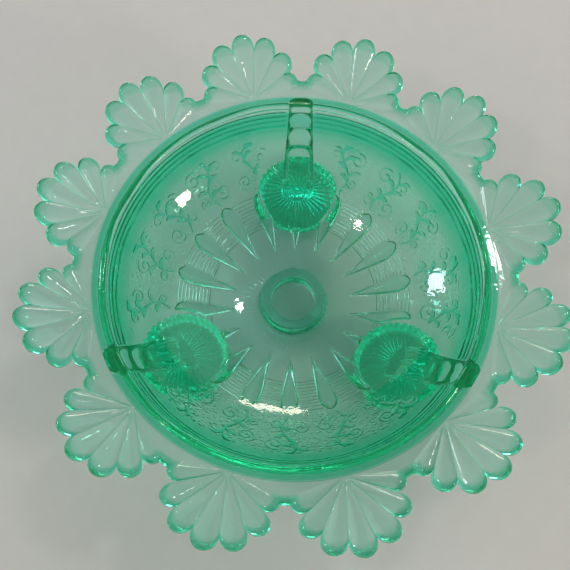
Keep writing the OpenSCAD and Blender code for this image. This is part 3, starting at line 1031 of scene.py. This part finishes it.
# Where the camera stands and what it looks at, from the middle of the rim's top
CAMERA_ELEVATION = math.radians(69.52)
CAMERA_DISTANCE = 3.054 * RIM_R * MM
CAMERA_AIM = Vector((-0.043, -0.088, 0)) * RIM_R * MM
CAMERA_ROLL = math.radians(0.25)
CAMERA_TURN = math.radians(-0.32)
CAMERA_LENS = 39.28
FLOOR_HALF = 1.9
FLOOR_Z = -0.0003  # just under the feet


def add_camera():
    middle = Vector((0, 0, RIM_H * MM))
    back = Vector((0, -math.cos(CAMERA_ELEVATION), math.sin(CAMERA_ELEVATION)))
    place = back * CAMERA_DISTANCE
    ahead = (CAMERA_AIM - place).normalized()
    right = ahead.cross(Vector((0, 0, 1))).normalized()
    up = right.cross(ahead)
    rolled_right = right * math.cos(CAMERA_ROLL) + up * math.sin(CAMERA_ROLL)
    rolled_up = up * math.cos(CAMERA_ROLL) - right * math.sin(CAMERA_ROLL)
    axes = Matrix((rolled_right, rolled_up, -ahead)).transposed().to_4x4()
    turn = Matrix.Rotation(CAMERA_TURN, 4, "Z")
    camera = bpy.data.objects.new("camera", bpy.data.cameras.new("camera"))
    camera.data.lens = CAMERA_LENS
    camera.data.clip_start = 0.005
    camera.matrix_world = Matrix.Translation(middle) @ turn @ Matrix.Translation(place) @ axes
    bpy.context.scene.collection.objects.link(camera)
    bpy.context.scene.camera = camera


def add_floor():
    mesh = bpy.data.meshes.new("floor")
    around = ((-1, -1), (1, -1), (1, 1), (-1, 1))
    corners = [(x * FLOOR_HALF, y * FLOOR_HALF, FLOOR_Z) for x, y in around]
    mesh.from_pydata(corners, [], [(0, 1, 2, 3)])
    material = bpy.data.materials.new("pale_paper")
    material.use_nodes = True
    nodes, links = material.node_tree.nodes, material.node_tree.links
    shader = nodes["Principled BSDF"]
    shader.inputs["Roughness"].default_value = 0.85
    grain = nodes.new("ShaderNodeTexNoise")
    grain.inputs["Scale"].default_value = 400
    ramp = nodes.new("ShaderNodeValToRGB")
    ramp.color_ramp.elements[0].color = (0.65, 0.64, 0.62, 1)
    ramp.color_ramp.elements[1].color = (0.69, 0.68, 0.66, 1)
    links.new(grain.outputs["Fac"], ramp.inputs["Fac"])
    links.new(ramp.outputs["Color"], shader.inputs["Base Color"])
    mesh.materials.append(material)
    floor = bpy.data.objects.new("floor", mesh)
    bpy.context.scene.collection.objects.link(floor)


def add_softbox(name, place, size, power, color, mirrored=True):
    """A soft light. One that is not mirrored lights the glass but shows no reflection in it."""
    light = bpy.data.lights.new(name, "AREA")
    light.shape = "RECTANGLE"
    light.size, light.size_y = size
    light.energy = power
    light.color = color
    box = bpy.data.objects.new(name, light)
    box.location = place
    box.rotation_mode = "QUATERNION"
    box.rotation_quaternion = Vector(place).to_track_quat("Z", "Y")
    box.visible_glossy = mirrored
    bpy.context.scene.collection.objects.link(box)


def add_lights():
    neutral, warm, cool = (1.0, 0.98, 0.95), (1.0, 0.86, 0.70), (0.80, 0.90, 1.0)
    add_softbox("key_softbox", (1.25, 1.25, 1.6), (2.4, 2.0), 19, neutral, mirrored=False)
    add_softbox("fill_softbox", (-1.6, -0.9, 1.5), (2.4, 2.0), 13, neutral, mirrored=False)
    add_softbox("top_softbox", (0.45, 0.44, 1.08), (0.08, 0.06), 0.8, neutral)
    add_softbox("lamp_softbox", (1.0, -0.40, 0.47), (0.12, 0.16), 2.6, warm)
    add_softbox("front_softbox", (-0.55, -0.36, 0.95), (0.08, 0.08), 0.7, warm)
    add_softbox("window_softbox", (-1.1, 0.30, 0.40), (0.16, 0.24), 2.4, cool)
    add_softbox("back_softbox", (0.1, 1.1, 0.34), (0.4, 0.08), 1.6, warm)
    world = bpy.data.worlds.new("studio")
    world.use_nodes = True
    nodes, links = world.node_tree.nodes, world.node_tree.links
    sky = nodes["Background"]
    sky.inputs["Strength"].default_value = 1.0
    place = nodes.new("ShaderNodeTexCoord")
    split = nodes.new("ShaderNodeSeparateXYZ")
    ramp = nodes.new("ShaderNodeValToRGB")
    links.new(place.outputs["Generated"], split.inputs["Vector"])
    links.new(split.outputs["Z"], ramp.inputs["Fac"])
    links.new(ramp.outputs["Color"], sky.inputs["Color"])
    ramp.color_ramp.elements[0].position = 0.0
    ramp.color_ramp.elements[0].color = (0.55, 0.54, 0.53, 1)
    ramp.color_ramp.elements[1].position = 0.85
    ramp.color_ramp.elements[1].color = (0.16, 0.17, 0.18, 1)
    for place_z, shade in ((0.06, 0.7), (0.2, 0.5), (0.35, 0.3)):
        ramp.color_ramp.elements.new(place_z).color = (shade, shade, shade, 1)
    bpy.context.scene.world = world


def set_light_paths():
    """Enough bounces for light to cross many walls of glass."""
    cycles = bpy.context.scene.cycles
    cycles.max_bounces = 24
    cycles.transmission_bounces = 20
    cycles.glossy_bounces = 8
    cycles.transparent_max_bounces = 32
    bpy.context.scene.view_settings.view_transform = "Standard"


add_camera()
add_floor()
add_lights()
set_light_paths()

build_bowl(glass_material("pressed_glass_bowl", 1, depth=110, painted_glow=0.01))
build_rim(glass_material("pressed_glass_rim", 2, depth=110, painted_glow=0.02))
build_socket(glass_material("pressed_glass_socket", 3, depth=70, painted_glow=0.01))
build_fans(glass_material("pressed_glass_fan", 4, depth=60, painted_glow=0.01))
build_legs_and_feet(
    glass_material("pressed_glass_leg", 5, depth=34, painted_glow=0.005),
    glass_material("pressed_glass_foot", 6, depth=150, ripple=0.05, painted_glow=0.05, blue=0.9),
)
